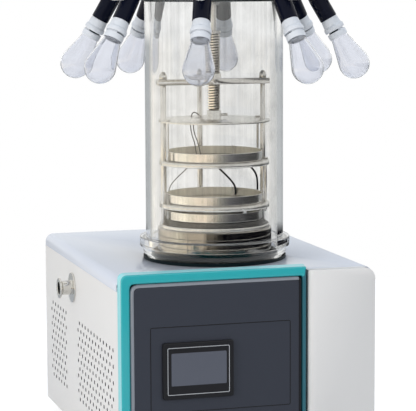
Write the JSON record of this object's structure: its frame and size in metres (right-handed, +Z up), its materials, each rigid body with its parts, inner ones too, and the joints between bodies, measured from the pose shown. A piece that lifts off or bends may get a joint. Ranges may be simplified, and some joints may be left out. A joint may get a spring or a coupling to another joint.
{
  "type": "freeze dryer",
  "caption": "Bench-top freeze dryer: cabinet with screen and vent grids, clear chamber, tray rack with screw press, manifold with valves and flasks.",
  "frame": {"origin": "on the floor, under the middle of the bounding box", "axes": "+Z up, +X to the right along the front, -Y towards the front with the screen"},
  "size_m": [0.5442, 0.706, 1.0176],
  "materials": {
    "rack_steel": "polished stainless steel",
    "manifold_steel": "turned stainless steel",
    "trap_steel": "polished stainless steel",
    "screw_steel": "turned stainless steel",
    "chrome": "polished",
    "chassis_steel": "satin grey",
    "foot_rubber": "matte black",
    "panel_paint": "fine texture off-white",
    "cover_paint": "fine texture off-white",
    "pillar_paint": "satin white",
    "frame_paint": "satin teal",
    "fascia_plastic": "satin anthracite",
    "screen_plastic": "satin black",
    "screen_glass": "glossy dark display",
    "inlet_plastic": "satin black",
    "jacket_foam": "moulded foam",
    "compressor_paint": "satin black",
    "condenser_fins": "plain fins",
    "fan_steel": "satin black",
    "fan_plastic": "matte black",
    "copper": "drawn copper",
    "gasket_rubber": "matte black",
    "acrylic": "clear polished",
    "lead_jacket": "matte black",
    "cap_plastic": "satin white",
    "valve_rubber": "matte black",
    "knob_plastic": "satin white",
    "flask_glass": "clear"
  },
  "bodies": {
    "cabinet": {"top_bar": "rack_steel", "rack_posts": "rack_steel", "acorn_nuts": "rack_steel", "rack_base": "rack_steel", "hanger_rods_lower": "rack_steel", "shelf_2": "rack_steel", "tray_2": "rack_steel", "tray_3": "rack_steel", "manifold_head": "manifold_steel", "cold_trap": "trap_steel", "vacuum_port": "chrome", "chassis_tray": "chassis_steel", "feet": "foot_rubber", "left_panel": "panel_paint", "right_panel": "panel_paint", "back_panel": "panel_paint", "top_cover": "cover_paint", "front_pillar": "pillar_paint", "front_frame": "frame_paint", "fascia_panel": "fascia_plastic", "screen_housing": "screen_plastic", "screen_glass": "screen_glass", "power_inlet": "inlet_plastic", "trap_jacket": "jacket_foam", "compressor": "compressor_paint", "condenser": "condenser_fins", "fan_shroud": "fan_steel", "control_box": "chassis_steel", "refrigerant_lines": "copper", "base_gasket": "gasket_rubber", "top_gasket": "gasket_rubber", "chamber_tube": "acrylic", "sensor_leads_lower": "lead_jacket", "flask_caps": "cap_plastic", "valve_bodies": "valve_rubber", "flask_1": "flask_glass", "flask_2": "flask_glass", "flask_3": "flask_glass", "flask_4": "flask_glass", "flask_5": "flask_glass", "flask_6": "flask_glass", "flask_7": "flask_glass", "flask_8": "flask_glass"},
    "press_carriage": {"press_plate": "rack_steel", "hanger_rods_upper": "rack_steel", "shelf_1": "rack_steel", "tray_1": "rack_steel", "sensor_leads_upper": "lead_jacket"},
    "press_screw_body": {"press_screw": "screw_steel", "press_handle": "chrome"},
    "fan": {"fan_rotor": "fan_plastic"},
    "rocker": {"power_switch": "inlet_plastic"},
    "valve_knob_1_body": {"valve_knob_1": "knob_plastic"},
    "valve_knob_2_body": {"valve_knob_2": "knob_plastic"},
    "valve_knob_3_body": {"valve_knob_3": "knob_plastic"},
    "valve_knob_4_body": {"valve_knob_4": "knob_plastic"},
    "valve_knob_5_body": {"valve_knob_5": "knob_plastic"},
    "valve_knob_6_body": {"valve_knob_6": "knob_plastic"},
    "valve_knob_7_body": {"valve_knob_7": "knob_plastic"},
    "valve_knob_8_body": {"valve_knob_8": "knob_plastic"}
  },
  "joints": [
    {"name": "press_travel", "type": "slide", "parent": "cabinet", "child": "press_carriage", "axis": [0, 0, 1], "range_m": [-0.05, 0], "deforming": ["sensor_leads_lower"]},
    {"name": "press_screw_turn", "type": "hinge", "parent": "press_carriage", "child": "press_screw_body", "pos_m": [0, -0.08096, 0.6506], "axis": [0, 0, 1], "range_deg": [-3600, 0]},
    {"name": "fan_spin", "type": "hinge", "parent": "cabinet", "child": "fan", "pos_m": [-0.1815, -0.10746, 0.1616], "axis": [1, 0, 0], "continuous": true},
    {"name": "power_rocker", "type": "hinge", "parent": "cabinet", "child": "rocker", "pos_m": [0.15, 0.34604, 0.1313], "axis": [1, 0, 0], "range_deg": [-12, 12]},
    {"name": "valve_turn_1", "type": "hinge", "parent": "cabinet", "child": "valve_knob_1_body", "pos_m": [0.19124, -0.00175, 0.8756], "axis": [0.9239, 0.3827, 0], "range_deg": [0, 180]},
    {"name": "valve_turn_2", "type": "hinge", "parent": "cabinet", "child": "valve_knob_2_body", "pos_m": [0.07921, 0.11028, 0.8756], "axis": [0.3827, 0.9239, 0], "range_deg": [0, 180]},
    {"name": "valve_turn_3", "type": "hinge", "parent": "cabinet", "child": "valve_knob_3_body", "pos_m": [-0.07921, 0.11028, 0.8756], "axis": [-0.3827, 0.9239, 0], "range_deg": [0, 180]},
    {"name": "valve_turn_4", "type": "hinge", "parent": "cabinet", "child": "valve_knob_4_body", "pos_m": [-0.19124, -0.00175, 0.8756], "axis": [-0.9239, 0.3827, 0], "range_deg": [0, 180]},
    {"name": "valve_turn_5", "type": "hinge", "parent": "cabinet", "child": "valve_knob_5_body", "pos_m": [-0.19124, -0.16018, 0.8756], "axis": [-0.9239, -0.3827, 0], "range_deg": [0, 180]},
    {"name": "valve_turn_6", "type": "hinge", "parent": "cabinet", "child": "valve_knob_6_body", "pos_m": [-0.07921, -0.27221, 0.8756], "axis": [-0.3827, -0.9239, 0], "range_deg": [0, 180]},
    {"name": "valve_turn_7", "type": "hinge", "parent": "cabinet", "child": "valve_knob_7_body", "pos_m": [0.07921, -0.27221, 0.8756], "axis": [0.3827, -0.9239, 0], "range_deg": [0, 180]},
    {"name": "valve_turn_8", "type": "hinge", "parent": "cabinet", "child": "valve_knob_8_body", "pos_m": [0.19124, -0.16018, 0.8756], "axis": [0.9239, -0.3827, 0], "range_deg": [0, 180]}
  ],
  "couplings": [
    {"joint": "press_screw_turn", "follows": "press_travel", "rad_per_m": 1256.6}
  ]
}
